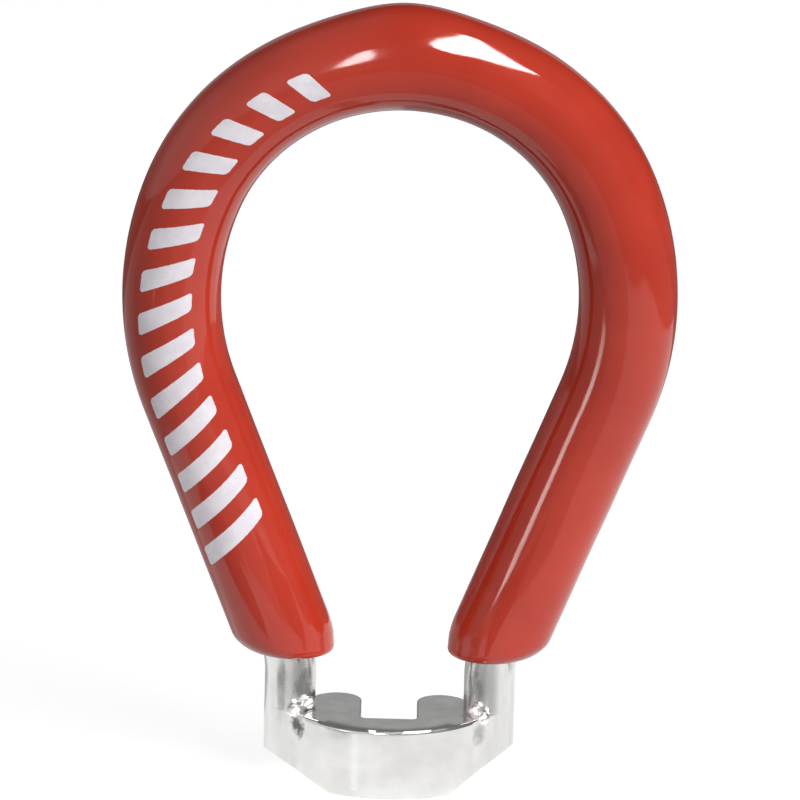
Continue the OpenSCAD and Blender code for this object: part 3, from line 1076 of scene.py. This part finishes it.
def cards():
    """Bright and dull cards, whose reflections draw the lights and darks of the gloss."""
    for name, directions, strength in BRIGHT_CARDS:
        card_at(name, directions, strength)
    for name, corners, lift, strength in FLOOR_CARDS:
        floor_card(name, corners, lift, strength)
    corners = [Vector(corner) * MM for corner in MIDDLE_CARD]
    only_mirrored(flat_card("middle_card", corners, glow("middle_card", MIDDLE_STRENGTH)))
    back_card()
    rim_cards()


def turned_to(ahead, along):
    """Turn of a lamp that shines ahead, with its second side along a line."""
    back = -Vector(ahead).normalized()
    across = Vector(along).cross(back).normalized()
    return Matrix((across, back.cross(across), back)).transposed().to_4x4()


def area_lamp(name, place, ahead, along, size, radiance, half_spread=90 * DEG):
    """Lamp of one radiance straight ahead, fading out at half its spread."""
    lamp = bpy.data.lights.new(name, "AREA")
    lamp.shape = "RECTANGLE"
    lamp.size, lamp.size_y = size
    lamp.spread = 2 * half_spread
    lamp.energy = radiance * math.pi * size[0] * size[1] * (1 - half_spread / math.tan(half_spread))
    box = bpy.data.objects.new(name, lamp)
    box.matrix_world = Matrix.Translation(place) @ turned_to(ahead, along)
    box.visible_camera = False
    bpy.context.scene.collection.objects.link(box)
    return box


# Soft lamp: azimuth and elevation in degrees, distance and size in metres
SOFT_DIRECTION = (47, 19)
SOFT_DISTANCE = 0.9
SOFT_SIZE = (0.6, 0.6)
SOFT_RADIANCE = 7.2

# Slim lamp, whose reflection is the line on the right leg
SLIM_PLACE = Vector((-40, -37, 8.5)) * MM
SLIM_END = Vector((10.5, -4, 20)) * MM
SLIM_SIZE = (10 * MM, 14.5 * MM)
SLIM_RADIANCE = 8.5
SLIM_HALF_SPREAD = 22 * DEG

# Low lamps: name, place and end of the beam in millimetres, radiance
LOW_LAMPS = (
    ("low_lamp_left", (-70, -30, 5), (-10, -4, 11), 17.0),
    ("low_lamp_right", (60, -45, 5), (2, -4, 10), 20.0),
)
LOW_SIZE = (20 * MM, 8 * MM)
LOW_HALF_SPREAD = 16 * DEG
UPRIGHT = (0, 0, 1)


def lamps():
    """A big soft lamp at the right, a slim one for the line on the right leg, two for the lower legs."""
    soft = TOOL_MIDDLE + towards(*SOFT_DIRECTION, SOFT_DISTANCE)
    softbox = area_lamp("soft_lamp", soft, TOOL_MIDDLE - soft, UPRIGHT, SOFT_SIZE, SOFT_RADIANCE)
    softbox.visible_glossy = False
    beam = SLIM_END - SLIM_PLACE
    slim = area_lamp("slim_lamp", SLIM_PLACE, beam, UPRIGHT, SLIM_SIZE, SLIM_RADIANCE, SLIM_HALF_SPREAD)
    only_mirrored(slim)
    for name, place, end, radiance in LOW_LAMPS:
        start = Vector(place) * MM
        ahead = (Vector(end) - Vector(place)) * MM
        low = area_lamp(name, start, ahead, UPRIGHT, LOW_SIZE, radiance, LOW_HALF_SPREAD)
        low.visible_glossy = False


def sky():
    """Pale sky, brightest low down on the left and dim behind the tool."""
    world = bpy.data.worlds.new("pale_sky")
    bpy.context.scene.world = world
    world.use_nodes = True
    tree = world.node_tree
    tree.nodes.clear()
    direction = split(tree, add(tree, "ShaderNodeTexCoord").outputs["Generated"])
    paler_left = ramp(tree, direction[0], 0.1, -0.6, to_low=0.2, to_high=0.85)
    dimmer_back = ramp(tree, direction[1], 0.1, 0.7, to_low=1.0, to_high=0.25)
    dimmer_high = ramp(tree, direction[2], 0.2, 0.8, to_low=1.0, to_high=0.6)
    level = calc(tree, "MULTIPLY", calc(tree, "MULTIPLY", paler_left, dimmer_back), dimmer_high)
    light = add(tree, "ShaderNodeBackground", {"Color": (1, 1, 1, 1), "Strength": level}).outputs[0]
    add(tree, "ShaderNodeOutputWorld", {0: light})


# Camera at the photograph's angle, in front and a little above

SENSOR_W = 36.0
NEAR_CLIP = 0.01
CAMERA_AIM = Vector((0.171, -2.0, 24.929)) * MM
CAMERA_DISTANCE = 450 * MM
CAMERA_RISE = 14.0 * DEG
CAMERA_ROLL = 1.5 * DEG
FOCAL_PIXELS = 7314.3
IMAGE_PIXELS = 800


def camera():
    """Long lens, turned a little so that the tool leans as it does in the picture."""
    lens = bpy.data.cameras.new("camera")
    lens.sensor_width = SENSOR_W
    lens.lens = SENSOR_W * FOCAL_PIXELS / IMAGE_PIXELS
    lens.clip_start = NEAR_CLIP
    ahead = Vector((0, math.cos(CAMERA_RISE), -math.sin(CAMERA_RISE)))
    level_up = Vector((0, math.sin(CAMERA_RISE), math.cos(CAMERA_RISE)))
    level_right = Vector((1, 0, 0))
    right = level_right * math.cos(CAMERA_ROLL) + level_up * math.sin(CAMERA_ROLL)
    up = level_up * math.cos(CAMERA_ROLL) - level_right * math.sin(CAMERA_ROLL)
    eye = bpy.data.objects.new("camera", lens)
    turn = Matrix((right, up, -ahead)).transposed().to_4x4()
    eye.matrix_world = Matrix.Translation(CAMERA_AIM - CAMERA_DISTANCE * ahead) @ turn
    bpy.context.scene.collection.objects.link(eye)
    bpy.context.scene.camera = eye


pale_floor()
cards()
lamps()
sky()
camera()
bpy.context.scene.view_settings.view_transform = "Standard"
